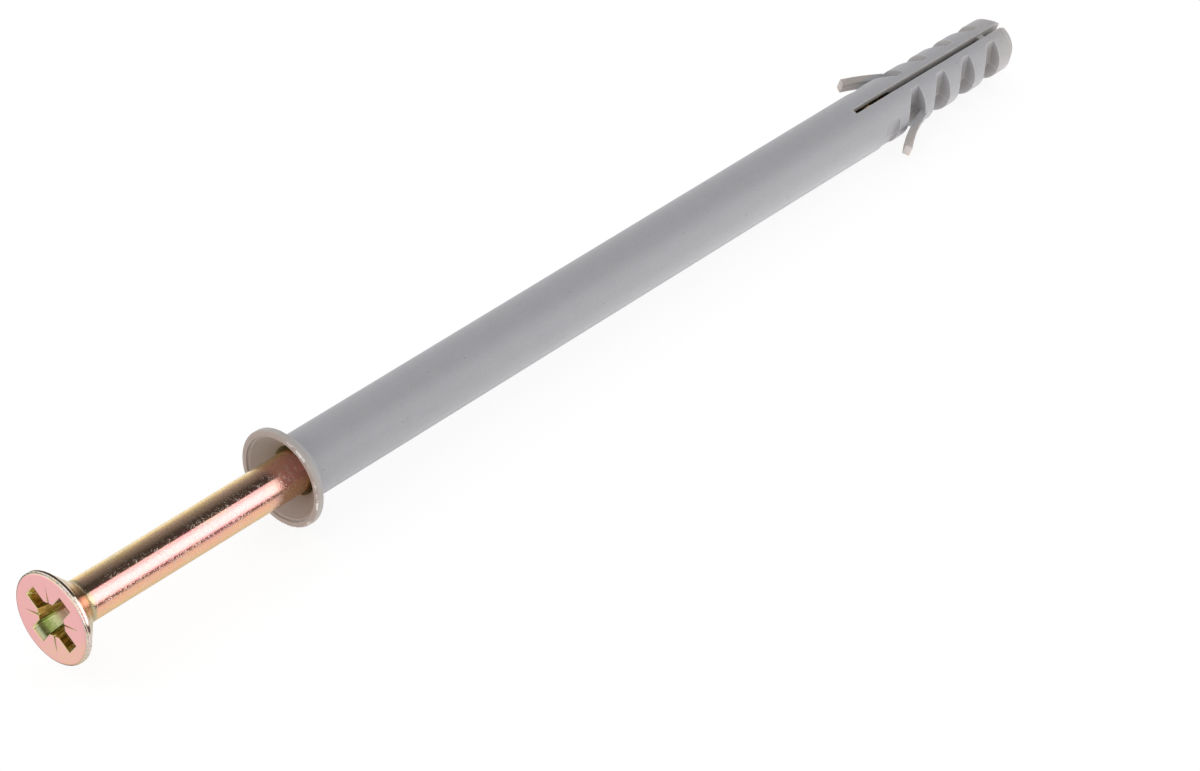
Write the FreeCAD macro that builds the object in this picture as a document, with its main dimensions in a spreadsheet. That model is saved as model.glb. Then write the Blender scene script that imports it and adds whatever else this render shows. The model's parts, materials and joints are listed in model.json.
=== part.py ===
import FreeCAD, Part
import os
import Sketcher
from FreeCAD import Placement, Rotation, Vector

# Frame fixing: a slotted nylon sleeve with a countersunk collar, and the
# countersunk screw that is partly driven into it. It lies on its side.
# Row frame: +X runs from the screw head to the sleeve tip, +Z is up, and the
# origin is the bottom centre of the box. Lengths in mm, angles in degrees.
SIZES = {
    # sleeve, measured from its tip towards the collar
    "sleeve_length": 160.0,
    "shank_radius": 4.83,
    "tip_radius": 4.45,
    "tip_face_radius": 3.65,
    "tip_bevel": 1.5,
    "leg_taper_length": 30.0,
    # collar, measured from its rim: the screw's head seats on the edge of its mouth
    "mouth_inset": 0.35,
    "rim_wall": 0.85,
    "rim_band": 1.0,
    "rim_round": 0.35,
    "flare_length": 2.25,
    "lip_depth": 0.4,
    "lip_step": 0.3,
    # bore, from the collar down to its blind end
    "bore_clearance": 0.3,
    "guide_clearance": 0.12,
    "guide_length": 13.0,
    "throat_radius": 2.0,
    "throat_above_point": 3.1,
    "throat_length": 2.4,
    "bore_end_radius": 1.7,
    "bore_end": 6.0,
    # slit between the two legs, and the two webs that bridge it
    "slit_length": 37.3,
    "slit_width": 1.0,
    "bridge_start": 4.6,
    "bridge_length": 1.2,
    "bridge_height": 1.3,
    "bridge_cover": 0.7,
    "tip_bridge_start": 0.35,
    "tip_bridge_length": 0.7,
    # saw-tooth notches in both sides of the legs
    "notch_count": 4.0,
    "notch_first": 4.33,
    "notch_pitch": 6.33,
    "notch_floor_radius": 2.5,
    "notch_floor_length": 1.75,
    "notch_wall_lean": 2.45,
    "notch_draft": 11.5,
    # shallow pocket that each barb folds into, one pitch past the last notch
    "pocket_floor_radius": 4.35,
    "pocket_floor_length": 2.9,
    "pocket_wall_lean": 0.8,
    # barbs, one in the last notch on each side: the far one has sprung back in a little
    "barb_root_inset": 0.45,
    "barb_root_radius": 3.55,
    "barb_root_thickness": 1.3,
    "barb_tip_thickness": 1.05,
    "barb_tip_slant": 0.25,
    "barb_width": 1.8,
    "near_barb_length": 7.95,
    "near_barb_tip_radius": 7.55,
    "near_barb_bend_radius": 26.0,
    "far_barb_length": 7.0,
    "far_barb_tip_radius": 6.75,
    "far_barb_bend_radius": 45.0,
    # screw, measured from its head face
    "screw_out": 42.7,
    "point_from_tip": 22.7,
    "head_radius": 6.95,
    "head_edge_round": 0.4,
    "head_land": 0.45,
    "head_cone_length": 3.5,
    "neck_flare": 0.3,
    "neck_length": 0.7,
    "neck_round": 1.0,
    "thread_radius": 3.5,
    "stem_step": 0.3,
    "thread_length": 66.0,
    "thread_depth": 0.9,
    "thread_pitch": 3.8,
    "thread_crest": 0.3,
    "thread_base": 1.5,
    "thread_runout": 4.5,
    "thread_bite": 0.15,
    "point_length": 6.0,
    "point_radius": 0.35,
    # cross recess in the head
    "recess_radius": 4.9,
    "recess_wing_width": 2.35,
    "recess_depth": 4.3,
    "recess_bottom_radius": 2.6,
    "recess_bottom_width": 1.5,
    "recess_core_half": 2.55,
    "recess_core_bottom_half": 1.75,
    "tick_start": 2.4,
    "tick_length": 2.8,
    "tick_width": 0.3,
    "tick_depth": 0.25,
    # how the two lie
    "slit_lean": 20.0,
    "recess_lean": 36.5,
}


class Size:
    """A length that also carries the sheet expression it is worked out by."""

    def __init__(self, value, text):
        self.value = value
        self.text = text

    def __add__(self, other):
        other = as_size(other)
        return Size(self.value + other.value, f"({self.text} + {other.text})")

    def __sub__(self, other):
        other = as_size(other)
        return Size(self.value - other.value, f"({self.text} - {other.text})")

    def __mul__(self, factor):
        return Size(self.value * factor, f"({self.text} * {factor})")

    def __neg__(self):
        return self * -1


def as_size(number):
    """A bare number as a Size, and a Size as it is."""
    return number if isinstance(number, Size) else Size(float(number), str(float(number)))


def size(alias):
    """The driving size in the sheet cell with this alias."""
    return Size(SIZES[alias], f"sizes.{alias}")


doc = FreeCAD.newDocument("frame_fixing")
sheet = doc.addObject("Spreadsheet::Sheet", "sizes")
for row, (alias, number) in enumerate(SIZES.items(), start=1):
    sheet.set(f"A{row}", alias)
    sheet.set(f"B{row}", str(number))
    sheet.setAlias(f"B{row}", alias)
doc.recompute()


# Sketch and feature helpers


def new_body(label):
    """An empty body with its label."""
    body = doc.addObject("PartDesign::Body", label)
    body.Label = label
    return body


def datum(body, role):
    """One of the body's own origin planes or axes."""
    return next(item for item in body.Origin.OriginFeatures if item.Role == role)


def new_sketch(body, name, role, lift=None):
    """A sketch on an origin plane of the body, raised along its normal by lift."""
    sketch = body.newObject("Sketcher::SketchObject", name)
    sketch.AttachmentSupport = [(datum(body, role), "")]
    sketch.MapMode = "FlatFace"
    if lift is not None:
        sketch.setExpression("AttachmentOffset.Base.z", lift.text)
    return sketch


def draw_loop(sketch, points):
    """A closed loop. A point is (x, y), or (x, y, radius) where the edge that leaves it is an arc.

    A positive radius bulges to the right of the way along the loop, a negative one to the left.
    """
    first = sketch.GeometryCount
    corners = [(as_size(p[0]), as_size(p[1]), p[2] if len(p) > 2 else None) for p in points]
    starts = []
    for here, following in zip(corners, corners[1:] + corners[:1]):
        a = Vector(here[0].value, here[1].value, 0)
        b = Vector(following[0].value, following[1].value, 0)
        if here[2] is None:
            sketch.addGeometry(Part.LineSegment(a, b), False)
            starts.append(1)
            continue
        radius = here[2].value
        chord = b - a
        bulge = Vector(chord.y, -chord.x, 0).normalize() * (1 if radius > 0 else -1)
        sag = abs(radius) - (radius**2 - (chord.Length / 2) ** 2) ** 0.5
        middle = (a + b) * 0.5 + bulge * sag
        ends = (a, b) if radius > 0 else (b, a)
        sketch.addGeometry(Part.Arc(ends[0], middle, ends[1]), False)
        starts.append(1 if radius > 0 else 2)
    for step, here in enumerate(corners):
        following = (step + 1) % len(corners)
        sketch.addConstraint(
            Sketcher.Constraint("Coincident", first + step, 3 - starts[step], first + following, starts[following])
        )
        for kind, place in (("DistanceX", here[0]), ("DistanceY", here[1])):
            number = sketch.addConstraint(
                Sketcher.Constraint(kind, -1, 1, first + step, starts[step], place.value)
            )
            sketch.setExpression(f"Constraints[{number}]", place.text)
        if here[2] is not None:
            radius = here[2] if here[2].value > 0 else -here[2]
            number = sketch.addConstraint(Sketcher.Constraint("Radius", first + step, radius.value))
            sketch.setExpression(f"Constraints[{number}]", radius.text)


def revolve(body, name, sketch):
    """Turns the sketch fully about its vertical axis."""
    feature = body.newObject("PartDesign::Revolution", name)
    feature.Profile = sketch
    feature.ReferenceAxis = (sketch, ["V_Axis"])
    feature.Angle = 360
    sketch.Visibility = False
    return feature


def volume_of(body):
    """Volume of the body as it stands."""
    doc.recompute()
    return body.Shape.Volume


def must_cut(body, before, what):
    """Stops when a cut took nothing away."""
    after = volume_of(body)
    if not after < before - 1e-3:
        raise RuntimeError(f"{what} cut nothing")
    return after


# Sleeve: local +Z runs from the tip to the collar, local Y lies in the slit,
# and local X points at the mould's parting line, where the barbs are

sleeve_length = size("sleeve_length")
shank_radius = size("shank_radius")
mouth_radius = size("head_radius") - size("mouth_inset")
rim_radius = mouth_radius + size("rim_wall")
bore_radius = size("thread_radius") + size("bore_clearance")
guide_radius = size("thread_radius") + size("guide_clearance")
throat_radius = size("throat_radius")
throat_end = size("point_from_tip") + size("throat_above_point")
screw_length = sleeve_length + size("screw_out") - size("point_from_tip")


def sleeve_profile(body):
    """Half section of the sleeve: legs, shank, flared collar, funnel and stepped bore."""
    rim_back = sleeve_length - size("rim_band")
    lip_bottom = sleeve_length - size("lip_depth")
    funnel_radius = mouth_radius - size("lip_step")
    funnel_bottom = lip_bottom - (funnel_radius - bore_radius)
    throat_top = throat_end + size("throat_length")
    guide_top = throat_top + size("guide_length")
    sketch = new_sketch(body, "sleeve_section", "XZ_Plane")
    draw_loop(
        sketch,
        [
            (0, 0),
            (size("tip_face_radius"), 0),
            (size("tip_radius"), size("tip_bevel")),
            (shank_radius, size("leg_taper_length")),
            (shank_radius, rim_back - size("flare_length")),
            (rim_radius, rim_back),
            (rim_radius, sleeve_length - size("rim_round"), size("rim_round")),
            (rim_radius - size("rim_round"), sleeve_length),
            (mouth_radius, sleeve_length),
            (mouth_radius, lip_bottom),
            (funnel_radius, lip_bottom),
            (bore_radius, funnel_bottom),
            (bore_radius, guide_top + (bore_radius - guide_radius)),
            (guide_radius, guide_top),
            (guide_radius, throat_top),
            (throat_radius, throat_end),
            (size("bore_end_radius"), size("bore_end")),
            (0, size("bore_end")),
        ],
    )
    return sketch


def side_cut(body, name, start, floor_radius, floor_length, wall_lean, count=None):
    """Cuts that widen away from the parting line, on both legs, as the mould's teeth leave them."""
    reach = rim_radius + 2.0
    sketch = new_sketch(body, f"{name}_section", "XZ_Plane")
    draw_loop(
        sketch,
        [
            (floor_radius, start),
            (reach, start),
            (reach, start + floor_length + wall_lean + (reach - shank_radius)),
            (shank_radius, start + floor_length + wall_lean),
            (floor_radius, start + floor_length),
        ],
    )
    cut = body.newObject("PartDesign::Pocket", name)
    cut.Profile = sketch
    cut.Type = "Length"
    cut.setExpression("Length", f"{rim_radius.text} / cos(sizes.notch_draft)")
    cut.UseCustomVector = True
    cut.setExpression("Direction.x", "-sin(sizes.notch_draft)")
    cut.setExpression("Direction.y", "cos(sizes.notch_draft)")
    cut.Direction = Vector(-0.199, 0.98, 0)
    cut.AlongSketchNormal = False
    sketch.Visibility = False
    doc.recompute()
    across_slit = body.newObject("PartDesign::Mirrored", f"{name}_other_leg")
    across_slit.MirrorPlane = (datum(body, "YZ_Plane"), [""])
    across_parting = body.newObject("PartDesign::Mirrored", f"{name}_other_half")
    across_parting.MirrorPlane = (datum(body, "XZ_Plane"), [""])
    steps = [across_slit, across_parting]
    if count is not None:
        row = body.newObject("PartDesign::LinearPattern", f"{name}_row")
        row.Direction = (datum(body, "Z_Axis"), [""])
        row.Mode = "Spacing"
        row.setExpression("Offset", "sizes.notch_pitch")
        row.setExpression("Occurrences", count.text)
        steps.insert(0, row)
    pattern = body.newObject("PartDesign::MultiTransform", f"{name}s")
    pattern.Originals = [cut]
    pattern.Transformations = steps
    body.Tip = pattern
    return pattern


def slit_cut(body):
    """The slit, cut through both sides, with two thin webs left standing across it."""
    reach = rim_radius + 2.0
    bridge_top = size("tip_radius") - size("bridge_cover")
    bridge_end = size("bridge_start") + size("bridge_length")
    tip_bridge_end = size("tip_bridge_start") + size("tip_bridge_length")
    sketch = new_sketch(body, "slit_outline", "YZ_Plane")
    slit_end = size("slit_length")
    draw_loop(sketch, [(-reach, -1.0), (reach, -1.0), (reach, slit_end), (-reach, slit_end)])
    draw_loop(
        sketch,
        [
            (bridge_top - size("bridge_height"), size("bridge_start")),
            (bridge_top, size("bridge_start")),
            (bridge_top, bridge_end),
            (bridge_top - size("bridge_height"), bridge_end),
        ],
    )
    tip_bridge_top = size("tip_face_radius") - size("bridge_cover")
    draw_loop(
        sketch,
        [
            (-tip_bridge_top, size("tip_bridge_start")),
            (size("bridge_height") - tip_bridge_top, size("tip_bridge_start")),
            (size("bridge_height") - tip_bridge_top, tip_bridge_end),
            (-tip_bridge_top, tip_bridge_end),
        ],
    )
    cut = body.newObject("PartDesign::Pocket", "slit")
    cut.Profile = sketch
    cut.Type = "Length"
    cut.Midplane = True
    cut.setExpression("Length", "sizes.slit_width")
    sketch.Visibility = False
    return cut


def barb(body, name, side, bow):
    """A curved strip that leaves the last notch and sweeps out and back towards the collar.

    The side is 1 for the near leg and -1 for the far one. A bow of 1 curls the tip outwards, and
    -1 curls it back in.
    """
    last_notch = size("notch_first") + size("notch_pitch") * (SIZES["notch_count"] - 1)
    root = last_notch - size("barb_root_inset")
    tip = last_notch + size(f"{name}_length")
    root_radius = size("barb_root_radius")
    tip_radius = size(f"{name}_tip_radius")
    bend = size(f"{name}_bend_radius") * (side * bow)
    sketch = new_sketch(body, f"{name}_outline", "XZ_Plane")
    draw_loop(
        sketch,
        [
            (root_radius * side, root),
            ((root_radius + size("barb_root_thickness")) * side, root, -bend),
            ((tip_radius + size("barb_tip_thickness")) * side, tip - size("barb_tip_slant")),
            (tip_radius * side, tip + size("barb_tip_slant"), bend),
        ],
    )
    strip = body.newObject("PartDesign::Pad", name)
    strip.Profile = sketch
    strip.Type = "Length"
    strip.Midplane = True
    strip.setExpression("Length", "sizes.barb_width")
    sketch.Visibility = False
    doc.recompute()
    return strip


def make_sleeve():
    """The moulded sleeve, in one piece with its collar, legs and barbs."""
    body = new_body("sleeve")
    section = sleeve_profile(body)
    revolve(body, "sleeve_turned", section)
    volume = volume_of(body)
    side_cut(
        body,
        "notch",
        size("notch_first"),
        size("notch_floor_radius"),
        size("notch_floor_length"),
        size("notch_wall_lean"),
        size("notch_count"),
    )
    volume = must_cut(body, volume, "the notches")
    side_cut(
        body,
        "pocket",
        size("notch_first") + size("notch_pitch") * SIZES["notch_count"],
        size("pocket_floor_radius"),
        size("pocket_floor_length"),
        size("pocket_wall_lean"),
    )
    volume = must_cut(body, volume, "the barb pockets")
    slit_cut(body)
    must_cut(body, volume, "the slit")
    barb(body, "near_barb", 1, 1)
    barb(body, "far_barb", -1, -1)
    return body


# Screw: local +Z runs from the head face to the point, and the recess wings
# lie along local X and Y


def screw_profile(body):
    """Half section of the screw without its thread: head, neck, plain stem, core and point."""
    head_radius = size("head_radius")
    edge = size("head_edge_round")
    thread_radius = size("thread_radius")
    stem_radius = thread_radius - size("stem_step")
    core = thread_radius - size("thread_depth")
    cone_top = edge + size("head_land")
    cone_bottom = cone_top + size("head_cone_length")
    neck = size("neck_length")
    neck_radius = stem_radius + size("neck_flare")
    thread_top = screw_length - size("thread_length")
    point_top = screw_length - size("point_length")
    sketch = new_sketch(body, "screw_section", "XZ_Plane")
    draw_loop(
        sketch,
        [
            (0, 0),
            (head_radius - edge, 0, edge),
            (head_radius, edge),
            (head_radius, cone_top),
            (neck_radius, cone_bottom, -size("neck_round")),
            (stem_radius, cone_bottom + neck),
            (stem_radius, thread_top),
            (core, thread_top + (stem_radius - core)),
            (core, point_top),
            (size("point_radius"), screw_length),
            (0, screw_length),
        ],
    )
    return sketch


def screw_thread(body):
    """One right-hand ridge wound round the core, starting inside the stem and fading out at the point."""
    core = size("thread_radius") - size("thread_depth")
    inner = core - size("thread_bite")
    thread_top = screw_length - size("thread_length")
    point_top = screw_length - size("point_length")
    first = thread_top - size("thread_base")
    middle = first + size("thread_base") * 0.5
    half_crest = size("thread_crest") * 0.5
    sketch = new_sketch(body, "thread_section", "XZ_Plane")
    draw_loop(
        sketch,
        [
            (inner, first),
            (size("thread_radius"), middle - half_crest),
            (size("thread_radius"), middle + half_crest),
            (inner, first + size("thread_base")),
        ],
    )
    ridge = body.newObject("PartDesign::AdditiveHelix", "thread")
    ridge.Profile = sketch
    ridge.ReferenceAxis = (sketch, ["V_Axis"])
    ridge.Mode = "pitch-height-angle"
    ridge.setExpression("Pitch", "sizes.thread_pitch")
    ridge.setExpression("Height", (point_top - first - size("thread_base") * 0.5).text)
    ridge.Angle = 0
    ridge.LeftHanded = False
    ridge.Reversed = False
    ridge.Refine = False
    sketch.Visibility = False
    doc.recompute()
    trim = new_sketch(body, "thread_end_section", "XZ_Plane")
    reach = size("thread_radius") + 1.0
    fade = point_top - size("thread_runout")
    draw_loop(
        trim,
        [
            (size("thread_radius"), fade),
            (reach, fade - 1.0),
            (reach, point_top + 3.0),
            (core, point_top + 3.0),
            (core, point_top),
        ],
    )
    fade_cut = body.newObject("PartDesign::Groove", "thread_end")
    fade_cut.Profile = trim
    fade_cut.ReferenceAxis = (trim, ["V_Axis"])
    fade_cut.Angle = 360
    fade_cut.Refine = False
    trim.Visibility = False
    doc.recompute()
    return fade_cut


def recess_loft(body, name, top_half_length, top_half_width, bottom_half_length, bottom_half_width):
    """A tapered rectangular hollow that narrows from the head face to the recess floor."""
    outlines = []
    for level, half_length, half_width, lift in (
        ("top", top_half_length, top_half_width, None),
        ("floor", bottom_half_length, bottom_half_width, size("recess_depth")),
    ):
        sketch = new_sketch(body, f"{name}_{level}", "XY_Plane", lift)
        draw_loop(
            sketch,
            [
                (-half_length, -half_width),
                (half_length, -half_width),
                (half_length, half_width),
                (-half_length, half_width),
            ],
        )
        sketch.Visibility = False
        outlines.append(sketch)
    cut = body.newObject("PartDesign::SubtractiveLoft", name)
    cut.Profile = outlines[0]
    cut.Sections = [outlines[1]]
    cut.Ruled = True
    return cut


def turn_copies(body, name, originals, count):
    """Copies of the features, evenly spaced about the screw's axis."""
    pattern = body.newObject("PartDesign::PolarPattern", name)
    pattern.Originals = originals
    pattern.Axis = (datum(body, "Z_Axis"), [""])
    pattern.Angle = 360
    pattern.Occurrences = count
    body.Tip = pattern
    return pattern


def head_recess(body):
    """The cross recess: four wings, the square between them, and four marks on the face."""
    half_wing = size("recess_wing_width") * 0.5
    half_floor = size("recess_bottom_width") * 0.5
    wing = recess_loft(
        body, "recess_wing", size("recess_radius"), half_wing, size("recess_bottom_radius"), half_floor
    )
    doc.recompute()
    turn_copies(body, "recess_wings", [wing], 4)
    doc.recompute()
    core_top = new_sketch(body, "recess_core_top", "XY_Plane")
    core_floor = new_sketch(body, "recess_core_floor", "XY_Plane", size("recess_depth"))
    for sketch, half in ((core_top, size("recess_core_half")), (core_floor, size("recess_core_bottom_half"))):
        corner = half * 1.4142
        draw_loop(sketch, [(-corner, 0), (0, -corner), (corner, 0), (0, corner)])
        sketch.Visibility = False
    core = body.newObject("PartDesign::SubtractiveLoft", "recess_core")
    core.Profile = core_top
    core.Sections = [core_floor]
    core.Ruled = True
    doc.recompute()
    return core


def head_marks(body):
    """Four thin marks on the head face, halfway between the wings."""
    sketch = new_sketch(body, "mark_outline", "XY_Plane")
    slope = 0.7071
    near = size("tick_start") * slope
    far = (size("tick_start") + size("tick_length")) * slope
    half = size("tick_width") * (0.5 * slope)
    draw_loop(sketch, [(near + half, near - half), (far, far), (near - half, near + half)])
    mark = body.newObject("PartDesign::Pocket", "mark")
    mark.Profile = sketch
    mark.Type = "Length"
    mark.setExpression("Length", "sizes.tick_depth")
    mark.Reversed = True
    sketch.Visibility = False
    doc.recompute()
    return turn_copies(body, "marks", [mark], 4)


def make_screw():
    """The countersunk screw."""
    body = new_body("screw")
    section = screw_profile(body)
    revolve(body, "screw_turned", section)
    volume_of(body)
    screw_thread(body)
    volume = volume_of(body)
    head_recess(body)
    volume = must_cut(body, volume, "the recess")
    head_marks(body)
    must_cut(body, volume, "the head marks")
    return body


# Assembly: both lie along X with the collar rim touching the ground plane


def lay_down(body, from_head, lean):
    """Lays a body along X: from_head is where its local origin is, and lean turns it about X."""
    axis_height = rim_radius
    overall = sleeve_length + size("screw_out")
    upright = Rotation(Vector(0, -1, 0), Vector(0, 0, 1), Vector(-1, 0, 0), "ZYX")
    if body.Label == "screw":
        upright = Rotation(Vector(0, 0, 1), Vector(0, -1, 0), Vector(1, 0, 0), "ZYX")
    turn = Rotation(Vector(1, 0, 0), lean)
    body.Placement = Placement(Vector(0, 0, 0), turn * upright)
    body.setExpression("Placement.Base.x", (from_head - overall * 0.5).text)
    body.setExpression("Placement.Base.z", axis_height.text)


sleeve = make_sleeve()
screw = make_screw()
lay_down(sleeve, sleeve_length + size("screw_out"), SIZES["slit_lean"])
lay_down(screw, as_size(0), SIZES["recess_lean"])
doc.recompute()

# Every object must be sound before anything is written
for item in doc.Objects:
    if {"Invalid", "Error"} & set(item.State):
        raise RuntimeError(f"{item.Name} is {item.State}")
for body in (sleeve, screw):
    if body.Shape.isNull() or not body.Shape.isValid():
        raise RuntimeError(f"{body.Label} has no valid shape")
    if len(body.Shape.Solids) != 1:
        raise RuntimeError(f"{body.Label} is {len(body.Shape.Solids)} solids, not one")

os.makedirs("parts", exist_ok=True)
for body in (sleeve, screw):
    body.Shape.exportStep(f"parts/{body.Label}.step")
    box = body.Shape.BoundBox
    print(body.Label, f"{body.Shape.Volume:.1f} mm3", f"X {box.XMin:.2f}..{box.XMax:.2f}",
          f"Y {box.YMin:.2f}..{box.YMax:.2f}", f"Z {box.ZMin:.2f}..{box.ZMax:.2f}")
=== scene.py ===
import json
import math

import bmesh
import bpy
from mathutils import Matrix, Vector

# Frame fixing lying on a white table: a grey nylon sleeve with a yellow-passivated
# countersunk screw part-way in. Metres, +X from the screw head to the sleeve tip, +Z up.

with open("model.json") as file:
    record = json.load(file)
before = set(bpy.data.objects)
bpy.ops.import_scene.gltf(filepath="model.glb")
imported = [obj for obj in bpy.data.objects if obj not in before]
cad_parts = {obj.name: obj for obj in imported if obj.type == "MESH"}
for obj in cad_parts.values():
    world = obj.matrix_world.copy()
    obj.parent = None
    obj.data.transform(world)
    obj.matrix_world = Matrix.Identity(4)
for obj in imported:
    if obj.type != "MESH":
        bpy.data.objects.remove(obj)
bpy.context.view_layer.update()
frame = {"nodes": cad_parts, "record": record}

MM = 0.001


def in_mm(metres):
    """A length of the frame in mm. Meshes hold single precision, so it is rounded to 0.01 mm."""
    return round(metres / MM, 2)


# Places on the object that the looks refer to, in mm
mount_places = {mount["name"]: mount["pos_m"] for mount in frame["record"]["mounts"]}
sleeve_x = [corner.co.x for corner in frame["nodes"]["sleeve"].data.vertices]
FACE_X = in_mm(mount_places["head_face"][0])
AXIS_Z = in_mm(mount_places["head_face"][2])
RIM_X = in_mm(min(sleeve_x))
TIP_X = in_mm(max(sleeve_x))
SLEEVE_LENGTH = TIP_X - RIM_X

# The slit and the recess are turned about the axis
SLIT_LEAN = math.radians(20.0)
RECESS_LEAN = math.radians(36.5)

# Sleeve, in mm from its tip: the ends of the slit and of the legs' taper, the collar's start
SLIT_END = 37.3
TAPER_END = 30.0
COLLAR_START = 157.1

# Radii of the sleeve, half the width of its slit, and what the legs' radius gains for each mm
COLLAR_RADIUS = 7.45
BORE_RADIUS = 3.8
TIP_RADIUS = 4.45
SLIT_HALF_WIDTH = 0.5
LEG_TAPER = 0.0133

# Screw, in mm from its face: the ends of the land and of the neck, the collar's rim at rest
LAND_END = 0.85
NECK_END = 5.05
RIM_FROM_FACE = RIM_X - FACE_X

# Radii of the head and of the recess, and what the recess narrows for each mm down
HEAD_RADIUS = 6.95
RECESS_RADIUS = 4.9
RECESS_DRAFT = 0.535

# A Mix node's colour sockets share their names with its number and vector sockets
MIX_FACTOR, MIX_FIRST, MIX_SECOND, MIX_RESULT = 0, 6, 7, 2

WHITE = (1.0, 1.0, 1.0)


# Node graphs


class Value:
    """One output of a node. Sums, products and powers of it add Math nodes."""

    def __init__(self, graph, socket):
        self.graph = graph
        self.socket = socket

    def __add__(self, other):
        return self.graph.maths("ADD", self, other)

    def __radd__(self, other):
        return self.graph.maths("ADD", other, self)

    def __sub__(self, other):
        return self.graph.maths("SUBTRACT", self, other)

    def __rsub__(self, other):
        return self.graph.maths("SUBTRACT", other, self)

    def __mul__(self, other):
        return self.graph.maths("MULTIPLY", self, other)

    def __rmul__(self, other):
        return self.graph.maths("MULTIPLY", other, self)

    def __truediv__(self, other):
        return self.graph.maths("DIVIDE", self, other)

    def __rtruediv__(self, other):
        return self.graph.maths("DIVIDE", other, self)

    def __pow__(self, other):
        return self.graph.maths("POWER", self, other)

    def __rpow__(self, other):
        return self.graph.maths("POWER", other, self)

    def __neg__(self):
        return self.graph.maths("MULTIPLY", self, -1.0)

    def __abs__(self):
        return self.graph.maths("ABSOLUTE", self)


def set_stops(points, stops):
    """Gives a colour ramp its grey stops, each a position and a level."""
    while len(points) < len(stops):
        points.new(0.5)
    for point, (position, level) in zip(points, stops):
        point.position = position
        point.color = (level, level, level, 1.0)


class Graph:
    """The node tree of a material or of the world."""

    def __init__(self, tree):
        self.tree = tree
        self.tree.nodes.clear()

    def put(self, socket, value):
        """Gives a socket a link or a constant."""
        if isinstance(value, Value):
            self.tree.links.new(value.socket, socket)
        elif socket.type == "RGBA":
            socket.default_value = (*value, 1.0)
        else:
            socket.default_value = value

    def node(self, kind, output=0, settings=None, numbered=None, **named):
        """Adds a node: settings first, then sockets by number or by name, with _ for a space."""
        made = self.tree.nodes.new(kind)
        for name, setting in (settings or {}).items():
            if name == "stops":
                set_stops(made.color_ramp.elements, setting)
            else:
                setattr(made, name, setting)
        for number, value in (numbered or {}).items():
            self.put(made.inputs[number], value)
        for name, value in named.items():
            self.put(made.inputs[name.replace("_", " ")], value)
        return Value(self, made.outputs[output]) if made.outputs else None

    def maths(self, operation, *numbers):
        """One number worked out from others."""
        settings = {"operation": operation}
        return self.node("ShaderNodeMath", 0, settings, dict(enumerate(numbers)))

    def vector_maths(self, operation, output, *vectors):
        """One vector or number worked out from vectors."""
        settings = {"operation": operation}
        return self.node("ShaderNodeVectorMath", output, settings, dict(enumerate(vectors)))

    def parts(self, vector):
        """The three components of a vector."""
        first = self.node("ShaderNodeSeparateXYZ", Vector=vector)
        return tuple(Value(self, output) for output in first.socket.node.outputs)

    def stretch(self, vector, factors):
        """A vector with each component multiplied by a factor of its own."""
        return self.vector_maths("MULTIPLY", "Vector", vector, factors)

    def lighten(self, colour, factor):
        """A colour with all its parts multiplied by one factor."""
        settings = {"operation": "SCALE"}
        return self.node("ShaderNodeVectorMath", "Vector", settings, Vector=colour, Scale=factor)

    def largest(self, first, *others):
        """The largest of some numbers."""
        for other in others:
            first = self.maths("MAXIMUM", first, other)
        return first

    def ramp(self, value, low, high):
        """0 at low, 1 at high, smooth between."""
        return self.node(
            "ShaderNodeMapRange",
            settings={"interpolation_type": "SMOOTHSTEP"},
            Value=value,
            From_Min=low,
            From_Max=high,
        )

    def blend(self, factor, first, second):
        """Colour mixed from first to second by factor."""
        settings = {"data_type": "RGBA", "blend_type": "MIX"}
        colours = {MIX_FACTOR: factor, MIX_FIRST: first, MIX_SECOND: second}
        return self.node("ShaderNodeMix", MIX_RESULT, settings, colours)

    def add(self, first, second):
        """Two shaders together."""
        return self.node("ShaderNodeAddShader", numbered={0: first, 1: second})

    def either(self, factor, first, second):
        """The first shader where the factor is 0, the second where it is 1."""
        return self.node("ShaderNodeMixShader", numbered={0: factor, 1: first, 2: second})

    def noise(self, vector, scale, detail, roughness=0.5):
        """Soft noise from 0 to 1 about 0.5."""
        return self.node(
            "ShaderNodeTexNoise", Vector=vector, Scale=scale, Detail=detail, Roughness=roughness
        )

    def bands(self, vector, scale, factors, detail):
        """Noise drawn out along the directions whose factors are small."""
        return self.noise(self.stretch(vector, factors), scale, detail)

    def cells(self, vector, scale):
        """Distance to the nearest of scattered points."""
        return self.node("ShaderNodeTexVoronoi", "Distance", Vector=vector, Scale=scale)

    def object_mm(self):
        """The place on the object in mm."""
        place = self.node("ShaderNodeTexCoord", "Object")
        return self.stretch(place, (1.0 / MM, 1.0 / MM, 1.0 / MM))

    def softened(self, radius):
        """The normal with sharp edges rounded off, and its likeness to the true one."""
        rounded = self.node("ShaderNodeBevel", settings={"samples": 8}, Radius=radius)
        true_normal = self.node("ShaderNodeNewGeometry", "True Normal")
        return rounded, self.vector_maths("DOT_PRODUCT", "Value", rounded, true_normal)

    def bump(self, strength, distance, height, normal):
        """A normal tilted by a height."""
        return self.node(
            "ShaderNodeBump", Strength=strength, Distance=distance, Height=height, Normal=normal
        )


def new_material(name):
    """An empty material and its graph."""
    material = bpy.data.materials.new(name)
    material.use_nodes = True
    return material, Graph(material.node_tree)


def finish_material(g, **inputs):
    """Ends a graph in a principled shader."""
    shader = g.node("ShaderNodeBsdfPrincipled", **inputs)
    g.node("ShaderNodeOutputMaterial", Surface=shader)


# Nylon of the sleeve


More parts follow.
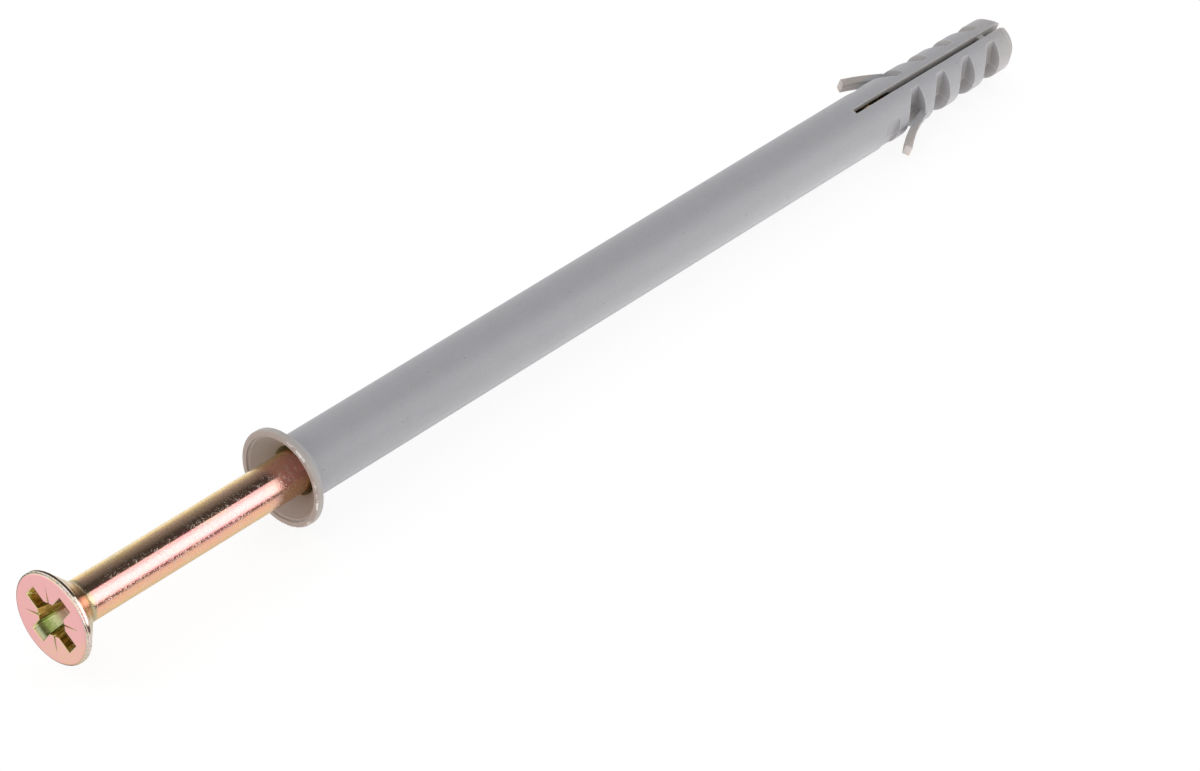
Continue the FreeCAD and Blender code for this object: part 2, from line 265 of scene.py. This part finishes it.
class SleevePlace:
    """Where a point of the sleeve lies, in mm."""

    def __init__(self, g):
        self.mm = g.object_mm()
        x, y, z = g.parts(self.mm)
        height = z - AXIS_Z
        along = height * math.cos(SLIT_LEAN) - y * math.sin(SLIT_LEAN)
        across = -(height * math.sin(SLIT_LEAN)) - y * math.cos(SLIT_LEAN)
        self.near_and_up = -y + height * 0.25
        self.from_tip = TIP_X - x
        self.along_slit = along
        self.across_slit = across
        self.radius = (along * along + across * across) ** 0.5
        self.legs = g.ramp(self.from_tip, SLIT_END + 0.7, SLIT_END - 1.3)


def nylon_body_tone(g, at, edges):
    """Cool grey. Warmer where the plastic is thin, at rim, barbs and tip, as painted light showing
    through it, paler at the barbs' ends; painted shade and reflection of the screw in the mouth and
    bore, painted shadow under the lip, painted highlight on edges.
    """
    grey = (0.332, 0.331, 0.350)
    thin_glow_grey = (0.385, 0.352, 0.330)
    barb_glow_beige = (0.50, 0.455, 0.43)
    mouth_shade_brown = (0.36, 0.295, 0.262)
    bore_reflection_ochre = (0.46, 0.37, 0.235)
    lip_shadow_brown = (0.40, 0.335, 0.29)
    edge_highlight_grey = (0.60, 0.58, 0.57)

    # painted light: rim, barbs and tip warmer, and the barbs' ends paler, as if lit through the
    # thin plastic
    # the barbs are all that stands out from the shank near the tip
    rim = g.ramp(at.from_tip, SLEEVE_LENGTH - 1.5, SLEEVE_LENGTH - 0.4)
    barbs = g.ramp(at.radius, 5.2, 6.2) * g.ramp(at.from_tip, 60.0, 50.0)
    tip = g.ramp(at.from_tip, 9.0, 0.0) * 0.45
    tone = g.blend(g.largest(rim, barbs, tip), grey, thin_glow_grey)
    barb_end_glow = barbs * g.ramp(at.radius, 7.0, 8.4)
    tone = g.blend(barb_end_glow * 0.8, tone, barb_glow_beige)

    # the funnel widens at 45 degrees, so its wall has one radius in this measure
    wall = at.radius - (at.from_tip - COLLAR_START)
    # painted shade and painted reflection of the screw down the funnel of the mouth
    mouth = g.ramp(wall, 4.75, 4.35) * g.ramp(at.from_tip, 150.0, 155.0)
    tone = g.blend(mouth, tone, mouth_shade_brown)
    # painted reflection of the screw's film on the wall of the bore
    bore = g.ramp(at.radius, BORE_RADIUS + 0.12, BORE_RADIUS + 0.04)
    bore = bore * g.ramp(at.from_tip, 120.0, 150.0)
    tone = g.blend(bore, tone, bore_reflection_ochre)
    # painted shadow in the ring under the lip of the mouth
    lip = g.ramp(at.radius, 6.66, 6.6) * g.ramp(at.radius, 6.2, 6.28)
    lip = lip * g.ramp(at.from_tip, SLEEVE_LENGTH - 0.6, SLEEVE_LENGTH - 0.45)
    tone = g.blend(lip, tone, lip_shadow_brown)
    # painted highlight on the edges
    return g.blend(edges * 0.7, tone, edge_highlight_grey)


def nylon_end_tone(g, at, tone):
    """Painted shade deep in the notches, painted light in the far ones and on the lips of the slit.
    """
    notch_shade_brown = (0.235, 0.217, 0.208)
    far_light_grey = (0.41, 0.395, 0.39)
    lip_light_grey = (0.47, 0.455, 0.445)

    # painted shade deep in the notches
    beside_slit = g.ramp(abs(at.across_slit), 0.9, 1.3)
    notch_shade = g.ramp(at.radius, 4.45, 3.3) * at.legs * beside_slit
    tone = g.blend(notch_shade * 0.55, tone, notch_shade_brown)
    # painted light in the far notches
    leg_radius = TIP_RADIUS - 0.02 + g.maths("MINIMUM", at.from_tip, TAPER_END) * LEG_TAPER
    far_notch_light = g.ramp(leg_radius - at.radius, 0.03, 0.15)
    far_notch_light = far_notch_light * g.ramp(-at.across_slit, 1.0, 2.0) * at.legs
    tone = g.blend(far_notch_light * g.ramp(at.along_slit, 1.0, 3.0) * 0.8, tone, far_light_grey)
    # painted light on the lips and walls of the slit, as if lit through the plastic
    slit_lip_light = g.ramp(abs(at.across_slit), SLIT_HALF_WIDTH + 0.06, SLIT_HALF_WIDTH + 0.02)
    slit_lip_light = slit_lip_light * g.ramp(at.from_tip, SLIT_END + 0.3, SLIT_END - 0.1)
    return g.blend(slit_lip_light * g.ramp(at.radius, 2.3, 3.3), tone, lip_light_grey)


def parting_ridge(g, at):
    """The fine ridge that the two halves of the mould leave down both sides, notches too."""
    wander = (g.noise(at.mm, 0.12, 2.0) - 0.5) * 0.35
    ridge = g.ramp(abs(at.along_slit + wander), 0.10, 0.02)
    ridge = ridge * g.ramp(abs(at.across_slit), 2.0, 2.4)
    return ridge * g.ramp(at.from_tip, COLLAR_START + 0.1, COLLAR_START - 0.5)


def rim_flash(g, at):
    """Ragged flash on the front outer edge of the rim."""
    ragged = g.noise(at.mm, 0.9, 4.0, 0.7)
    uneven_radius = at.radius + (ragged - 0.5) * 0.5
    crest = g.ramp(uneven_radius, COLLAR_RADIUS - 0.47, COLLAR_RADIUS - 0.35)
    crest = crest * g.ramp(at.radius, COLLAR_RADIUS - 0.07, COLLAR_RADIUS - 0.20)
    front = g.ramp(at.from_tip, SLEEVE_LENGTH - 0.4, SLEEVE_LENGTH - 0.15)
    return crest * front * g.ramp(ragged, 0.47, 0.55) * g.ramp(at.near_and_up, 2.5, 5.0)


def nylon_material():
    """Moulded nylon with its parting line, flash, specks and grain."""
    ridge_grey = (0.62, 0.60, 0.585)
    flash_white = (0.88, 0.86, 0.84)
    speck_brown = (0.12, 0.105, 0.09)
    speck_grey = (0.6, 0.6, 0.6)
    edge_rounding = 0.28 * MM
    scatter_depth = 0.9 * MM
    grain_depth = 0.06 * MM

    material, g = new_material("moulded_nylon")
    at = SleevePlace(g)
    rounded, likeness = g.softened(edge_rounding)
    ridge = parting_ridge(g, at)
    flash = rim_flash(g, at)
    speck = g.ramp(g.cells(at.mm, 0.42), 0.060, 0.035)
    pale_speck = g.ramp(g.cells(at.mm, 1.1), 0.065, 0.035)

    tone = nylon_body_tone(g, at, g.ramp(likeness, 0.995, 0.80))
    tone = nylon_end_tone(g, at, tone)
    tone = g.blend(ridge * 0.42, tone, ridge_grey)
    tone = g.blend(flash * 0.8, tone, flash_white)
    tone = g.blend(speck * 0.6, tone, speck_brown)
    tone = g.blend(pale_speck * 0.30, tone, speck_grey)

    mottle = g.noise(at.mm, 0.35, 3.0)
    grain = g.noise(at.mm, 6.0, 2.0)
    coarse_grain = g.noise(at.mm, 2.6, 2.0)
    streak = g.bands(at.mm, 1.0, (0.06, 1.6, 1.6), 3.0)
    lift = 1.0 + (mottle - 0.5) * 0.07 + (grain - 0.5) * 0.16 + (streak - 0.5) * 0.04
    lift = lift + (coarse_grain - 0.5) * 0.12

    # turned marks on the end face and fine moulded grain everywhere
    rings = g.maths("SINE", at.radius * 21.0) * g.ramp(at.from_tip, 0.3, 0.05)
    relief = ridge * 0.9 + grain * 0.12 + mottle * 0.5 + rings * 0.15 - speck * 0.2
    relief = relief + flash * 1.2
    finish_material(
        g,
        Base_Color=g.lighten(tone, lift),
        Roughness=0.48 + (grain - 0.5) * 0.12,
        Specular_IOR_Level=0.40,
        Subsurface_Weight=0.22,
        Subsurface_Radius=(1.0, 0.85, 0.75),
        Subsurface_Scale=scatter_depth,
        Normal=g.bump(0.6, grain_depth, relief, rounded),
    )
    return material


# Passivated zinc of the screw


class ScrewPlace:
    """Where a point of the screw lies, in mm, with the masks and noises that its finishes share."""

    def __init__(self, g):
        self.mm = g.object_mm()
        x, self.y, z = g.parts(self.mm)
        self.height = z - AXIS_Z
        self.from_face = x - FACE_X
        self.radius = (self.y * self.y + self.height * self.height) ** 0.5

        self.face = g.ramp(self.from_face, 0.06, 0.02)
        below_land = g.ramp(self.from_face, LAND_END + 0.05, LAND_END + 0.45)
        self.cone = below_land * g.ramp(self.from_face, NECK_END + 0.65, NECK_END - 0.05)
        self.on_stem = g.ramp(self.from_face, 4.0, 6.0)
        self.near_collar = g.ramp(self.from_face, RIM_FROM_FACE - 6.2, RIM_FROM_FACE - 2.7)
        drafted_radius = self.radius + self.from_face * RECESS_DRAFT
        in_outline = g.ramp(drafted_radius, RECESS_RADIUS + 0.35, RECESS_RADIUS + 0.22)
        self.recess = g.ramp(self.from_face, 0.06, 0.3) * in_outline

        self.drift = g.bands(self.mm, 0.20, (0.7, 0.8, 0.8), 2.0)
        self.cloud = g.noise(self.mm, 0.55, 3.0)
        self.spots = g.noise(self.mm, 2.3, 3.0, 0.6)
        self.speckle = g.noise(self.mm, 9.0, 3.0, 0.65)

        # degrees round the stem, 0 on the near side and 90 on top, with drifting borders
        turn = g.maths("ARCTAN2", self.height, -self.y) * (180.0 / math.pi)
        self.turn = turn + (self.drift - 0.5) * 44.0 + (self.cloud - 0.5) * 16.0


def stem_film(g, at):
    """Film round the stem: orange low on the near side, pink above it, brown gold on top, as
    painted reflection colour of a film that shifts colour with the angle it is seen at, with its
    own spots and drift; painted reflection of the collar's mouth near the collar.
    """
    orange = (0.88, 0.56, 0.28)
    spot_gold = (0.80, 0.64, 0.34)
    collar_reflection_purple = (0.72, 0.40, 0.335)
    inner_reflection_gold = (0.86, 0.59, 0.34)
    thread_gold = (0.80, 0.56, 0.27)
    thread_start, thread_full = 60.0, 100.0
    # painted reflection colour: the tones by side stand in for the film's change of colour with the
    # angle it is seen at
    # the degrees between which each tone takes over from the one before
    film_and_reflection_turns = (
        (-30.0, 0.0, (0.88, 0.46, 0.29)),
        (0.0, 22.0, (0.88, 0.375, 0.36)),
        (44.0, 62.0, (0.90, 0.57, 0.39)),
        (84.0, 104.0, (0.92, 0.64, 0.31)),
        (108.0, 125.0, (0.84, 0.72, 0.46)),
    )
    tone = orange
    for start, end, next_tone in film_and_reflection_turns:
        tone = g.blend(g.ramp(at.turn, start, end), tone, next_tone)
    tone = g.blend(g.ramp(at.spots, 0.58, 0.72) * 0.35, tone, spot_gold)

    # painted reflection of the collar's mouth: purple brown where the stem goes into the collar and
    # gold low down inside it; gold also on the thread
    upper = g.ramp(at.turn, 130.0, 80.0)
    tone = g.blend(at.near_collar * upper * 0.9, tone, collar_reflection_purple)
    inside = g.ramp(at.from_face, RIM_FROM_FACE - 3.7, RIM_FROM_FACE - 1.2)
    tone = g.blend(inside * g.ramp(at.turn, 25.0, 0.0) * 0.8, tone, inner_reflection_gold)
    return g.blend(g.ramp(at.from_face, thread_start, thread_full), tone, thread_gold)


def face_film(g, at):
    """Even pink on the flat face, with a few small golden blotches near its lower edge."""
    pink = (0.935, 0.505, 0.485)
    cooler_pink = (0.92, 0.48, 0.495)
    peach = (0.92, 0.60, 0.44)
    gold = (0.84, 0.62, 0.28)

    low = g.ramp(at.height + at.y * 0.5, -1.5, -5.5)
    blotch = g.ramp(at.spots + low * 0.10, 0.62, 0.72) * low
    tone = g.blend(g.noise(at.mm, 0.3, 2.0), pink, cooler_pink)
    tone = g.blend(low * 0.35, tone, peach)
    return g.blend(blotch * 0.7, tone, gold)


def head_film(g, at, tone):
    """The land of the head worn to pale silver green, and olive gold on its cone and the neck."""
    silver_green = (0.70, 0.66, 0.50)
    silver_pink = (0.74, 0.66, 0.62)
    mottle_grey = (0.40, 0.38, 0.33)
    olive = (0.50, 0.41, 0.25)
    olive_gold = (0.60, 0.44, 0.29)

    land = g.ramp(at.radius, HEAD_RADIUS - 0.50, HEAD_RADIUS - 0.33)
    land = land * g.ramp(at.from_face, 0.02, 0.10)
    land = land * g.ramp(at.from_face, LAND_END + 0.45, LAND_END + 0.15)
    worn = g.blend(g.ramp(at.cloud, 0.4, 0.6), silver_green, silver_pink)
    tone = g.blend(land * g.ramp(at.spots, 0.30, 0.50) * 0.9, tone, worn)
    fine_spots = g.noise(at.mm, 4.2, 3.0, 0.6)
    tone = g.blend(land * g.ramp(fine_spots, 0.50, 0.60) * 0.7, tone, mottle_grey)
    cone_tone = g.blend(g.ramp(at.drift, 0.4, 0.6), olive, olive_gold)
    return g.blend(at.cone, tone, cone_tone)


def recess_film(g, at):
    """Inside the recess the film pools olive and gold, and green in the long trough."""
    olive = (0.42, 0.36, 0.12)
    gold = (0.84, 0.64, 0.36)
    end_green = (0.80, 0.84, 0.50)
    dark_green = (0.07, 0.09, 0.02)
    # the depths in mm between which each tone of the trough takes over from the one before
    depths = (
        (0.9, 2.0, (0.38, 0.48, 0.14)),
        (1.9, 2.7, (0.72, 0.78, 0.44)),
        (2.8, 3.9, (0.62, 0.42, 0.38)),
    )
    streaks = g.bands(at.mm, 3.0, (0.12, 1.0, 1.0), 3.0)
    pool = g.blend(g.ramp(streaks, 0.40, 0.60), olive, gold)
    down = at.from_face + (at.spots - 0.5) * 1.2
    green = dark_green
    for start, end, next_tone in depths:
        green = g.blend(g.ramp(down, start, end), green, next_tone)
    along_wing = at.y * math.cos(RECESS_LEAN) + at.height * math.sin(RECESS_LEAN)
    trough = g.ramp(abs(along_wing), 1.28, 1.12)
    pool = g.blend(trough * 0.9, pool, green)
    wing_ends = g.ramp(at.radius, 4.0, 4.5) * g.ramp(at.from_face, 0.9, 0.4)
    return g.blend(wing_ends * g.ramp(at.cloud, 0.35, 0.50) * 0.8, pool, end_green)


def scratches(g, at, flecks):
    """Short scratches on the stem, slanted both ways in patches, and fine flecks between them."""
    hair_shape = (0.7, 4.8, 4.8)
    patches = g.noise(at.mm, 0.30, 2.0)
    marks = g.ramp(flecks + (patches - 0.5) * 0.16, 0.58, 0.67) * 0.6
    # each slant in degrees, with the patches that it is found in
    slants = (
        (32.0, g.ramp(at.cloud, 0.36, 0.46)),
        (-38.0, g.ramp(at.cloud, 0.62, 0.52)),
    )
    for lean, patch in slants:
        slanted = g.node(
            "ShaderNodeVectorRotate",
            settings={"rotation_type": "EULER_XYZ"},
            Vector=at.mm,
            Rotation=(0.0, math.radians(lean), math.radians(-lean)),
        )
        hairs = g.cells(g.stretch(slanted, hair_shape), 1.0)
        marks = g.largest(marks, g.ramp(hairs, 0.34, 0.16) * patch)
    return marks * at.on_stem * g.ramp(patches, 0.26, 0.44)


def land_bulge(g, at):
    """Height in mm by which the shading rounds the land of the head."""
    land_start, land_width, bulge = 0.25, 0.6, 0.30
    past_edge = g.largest(at.from_face - land_start, 0.0)
    along_land = g.maths("MINIMUM", past_edge, land_width) / land_width
    outside = g.ramp(at.radius, HEAD_RADIUS - 1.05, HEAD_RADIUS - 0.55)
    return along_land * (2.0 - along_land) * outside * bulge


def passivated_material():
    """Zinc plate under a passivation film whose colour drifts between pink, gold and green."""
    lip_green = (0.66, 0.70, 0.36)
    zinc_grey = (0.62, 0.61, 0.57)
    straw_gleam = (1.0, 0.96, 0.84)
    edge_rounding = 0.22 * MM
    scratch_depth = 0.03 * MM

    material, g = new_material("passivated_zinc")
    at = ScrewPlace(g)
    rounded, likeness = g.softened(edge_rounding)
    flecks = g.noise(g.stretch(at.mm, (0.7, 1.0, 1.0)), 3.4, 3.0, 0.7)
    flecks = 0.5 + (flecks - 0.5) * (1.0 - at.near_collar * 0.6)
    scratch = scratches(g, at, flecks)

    tone = g.blend(at.face, stem_film(g, at), face_film(g, at))
    tone = head_film(g, at, tone)
    tone = g.blend(at.recess, tone, recess_film(g, at))
    lips = g.ramp(likeness, 0.995, 0.93) * g.ramp(at.radius, 5.7, 5.3)
    lips = lips * g.ramp(at.from_face, 0.5, 0.1)
    tone = g.blend(lips * g.ramp(at.cloud, 0.30, 0.55) * 0.8, tone, lip_green)
    tone = g.blend(scratch * 0.75, tone, zinc_grey)

    # fine lines drawn along the top of the stem
    lines = g.bands(at.mm, 1.0, (0.05, 2.2, 2.2), 3.0)
    lift = 1.0 + (at.speckle - 0.5) * 0.35 * at.on_stem + (at.speckle - 0.5) * 0.10
    lift = lift + (flecks - 0.5) * 0.40 * at.on_stem
    lift = lift + (lines - 0.5) * 0.45 * at.on_stem * g.ramp(at.turn, 72.0, 98.0)

    relief = at.speckle * (0.35 + at.on_stem * 0.8) + flecks * at.on_stem * 0.8
    relief = relief + at.spots * 0.25 - scratch * 0.9
    rough = 0.10 + (at.speckle - 0.5) * 0.08 + at.face * 0.235
    rough = rough + scratch * 0.30 + at.recess * 0.10 + at.cone * 0.13
    land_normal = g.bump(1.0, MM, land_bulge(g, at), rounded)
    finish_material(
        g,
        Base_Color=g.lighten(tone, lift),
        Metallic=1.0,
        Roughness=rough,
        Specular_Tint=straw_gleam,
        Normal=g.bump(0.40, scratch_depth, relief, land_normal),
    )
    return material


# Studio


def glowing(g, glow, strength, grey):
    """A matt grey surface that also gives off light."""
    return g.add(
        g.node("ShaderNodeEmission", Color=glow, Strength=strength),
        g.node("ShaderNodeBsdfDiffuse", Color=(grey, grey, grey), Roughness=0.0),
    )


def table_material():
    """White table, lit from within: the camera sees it white, with a faint shadow kept."""
    glow_by_head = (0.38, 0.355, 0.34)
    glow_by_tip = (0.95, 0.92, 0.89)

    material, g = new_material("white_table")
    camera_ray = g.node("ShaderNodeLightPath", "Is Camera Ray")
    glossy_ray = g.node("ShaderNodeLightPath", "Is Glossy Ray")
    place = g.node("ShaderNodeTexCoord", "Object")
    toward_tip = g.ramp(g.parts(place)[0], -90.0 * MM, 100.0 * MM)
    glow = g.blend(toward_tip, glow_by_head, glow_by_tip)
    lighting = glowing(g, glow, strength=1.15, grey=0.8)
    seen = glowing(g, WHITE, strength=0.84, grey=0.18)
    clear = g.node("ShaderNodeBsdfTransparent", Color=WHITE)
    surface = g.either(glossy_ray, g.either(camera_ray, lighting, seen), clear)
    g.node("ShaderNodeOutputMaterial", Surface=surface)
    return material


# What polished parts mirror: levels by the angle about the X axis, in degrees. 0 is the near
# horizon, 90 straight up and 180 the far horizon.
MIRRORED_LEVELS = (
    (-180.0, 1.1),
    (-140.0, 1.0),
    (-105.0, 0.72),
    (-70.0, 0.97),
    (-26.0, 1.0),
    (-21.0, 0.13),
    (-8.0, 0.13),
    (-2.0, 1.9),
    (5.0, 2.4),
    (36.0, 2.4),
    (48.0, 1.75),
    (56.0, 0.85),
    (62.0, 0.22),
    (72.0, 0.06),
    (96.0, 0.06),
    (116.0, 0.19),
    (130.0, 0.27),
    (146.0, 0.40),
    (165.0, 0.72),
    (180.0, 1.1),
)


def mirrored_light(g, turn, x, y, z):
    """A long light low in front, a dark ceiling, a bright sweep beside and a dark far corner."""
    sweep_level = 1.12
    corner_darkness = 0.8
    brightest = max(level for angle, level in MIRRORED_LEVELS)
    stops = [((angle + 180.0) / 360.0, level / brightest) for angle, level in MIRRORED_LEVELS]
    share = g.node("ShaderNodeValToRGB", settings={"stops": stops}, numbered={0: turn})

    # the sweep is on the head's side of the camera, and the rim of the head mirrors the corner
    beside = g.ramp(x, -0.30, -0.60) * g.ramp(z, -0.2, 0.1)
    corner = g.ramp(y, 0.25, 0.50) * g.ramp(x, 0.50, 0.36) * g.ramp(x, -0.38, -0.22)
    level = share * (brightest * (1.0 - beside) * (1.0 - corner * corner_darkness))
    return level + beside * sweep_level


def studio_world():
    """White for the camera. Matt surfaces get a soft spread, polished ones have more to mirror."""
    full_turn = 2.0 * math.pi
    spread_mean, spread_swing, spread_turn = 1.5, 0.76, math.radians(115.0)
    world = bpy.data.worlds.new("studio")
    world.use_nodes = True
    g = Graph(world.node_tree)
    x, y, z = g.parts(g.node("ShaderNodeTexCoord", "Generated"))
    # angle about the X axis as a share of a full turn: 0.5 is the near horizon, 0.75 straight up
    turn = g.maths("ARCTAN2", z, -y) / full_turn + 0.5
    mirrored = mirrored_light(g, turn, x, y, z)
    around = (turn - 0.5) * full_turn + spread_turn
    spread = g.maths("COSINE", around) * spread_swing + spread_mean

    camera_ray = g.node("ShaderNodeLightPath", "Is Camera Ray")
    diffuse_ray = g.node("ShaderNodeLightPath", "Is Diffuse Ray")
    lit = mirrored * (1.0 - diffuse_ray) + spread * diffuse_ray
    strength = camera_ray + (1.0 - camera_ray) * lit
    light = g.node("ShaderNodeBackground", Color=WHITE, Strength=strength)
    g.node("ShaderNodeOutputWorld", Surface=light)
    bpy.context.scene.world = world


def lay_table():
    """The table top touches the collar's rim and the sleeve's tip, so it leans in this frame."""
    half_size = 2.5
    # in mm: how much higher the sleeve's underside is at its tip than at the rim, and how far on
    rise, run = 3.0, 158.15
    under_rim = (-58.3 * MM, 0.0, -0.02 * MM)

    mesh = bpy.data.meshes.new("table_top")
    shape = bmesh.new()
    bmesh.ops.create_grid(shape, x_segments=2, y_segments=2, size=half_size)
    leaning = Matrix.Rotation(-math.atan2(rise, run), 4, "Y")
    place = Matrix.Translation(under_rim) @ leaning
    bmesh.ops.transform(shape, matrix=place, verts=shape.verts)
    shape.to_mesh(mesh)
    shape.free()
    table = bpy.data.objects.new("table_top", mesh)
    bpy.context.collection.objects.link(table)
    table.data.materials.append(table_material())


def place_camera():
    """The photograph's viewpoint, fitted to the outlines of the object."""
    fitted_lens = 142.67
    standpoint = (-0.427695, -0.381032, 0.390320)
    looking = Vector((0.618531, 0.541131, -0.569733))
    upward = Vector((0.420454, 0.384606, 0.821765))
    rightward = looking.cross(upward)

    data = bpy.data.cameras.new("camera")
    data.sensor_fit = "HORIZONTAL"
    data.sensor_width = 36.0
    data.lens = fitted_lens
    data.clip_start = 0.01
    data.clip_end = 20.0
    camera = bpy.data.objects.new("camera", data)
    turned = Matrix((rightward, upward, -looking)).transposed().to_4x4()
    camera.matrix_world = Matrix.Translation(standpoint) @ turned
    bpy.context.collection.objects.link(camera)
    bpy.context.scene.camera = camera


# Dressing


def dress(node, material):
    """Gives a carried-over solid its material."""
    shown = frame["nodes"][node]
    shown.data.materials.clear()
    shown.data.materials.append(material)


dress("sleeve", nylon_material())
dress("screw", passivated_material())
studio_world()
lay_table()
place_camera()
bpy.context.scene.view_settings.view_transform = "Standard"
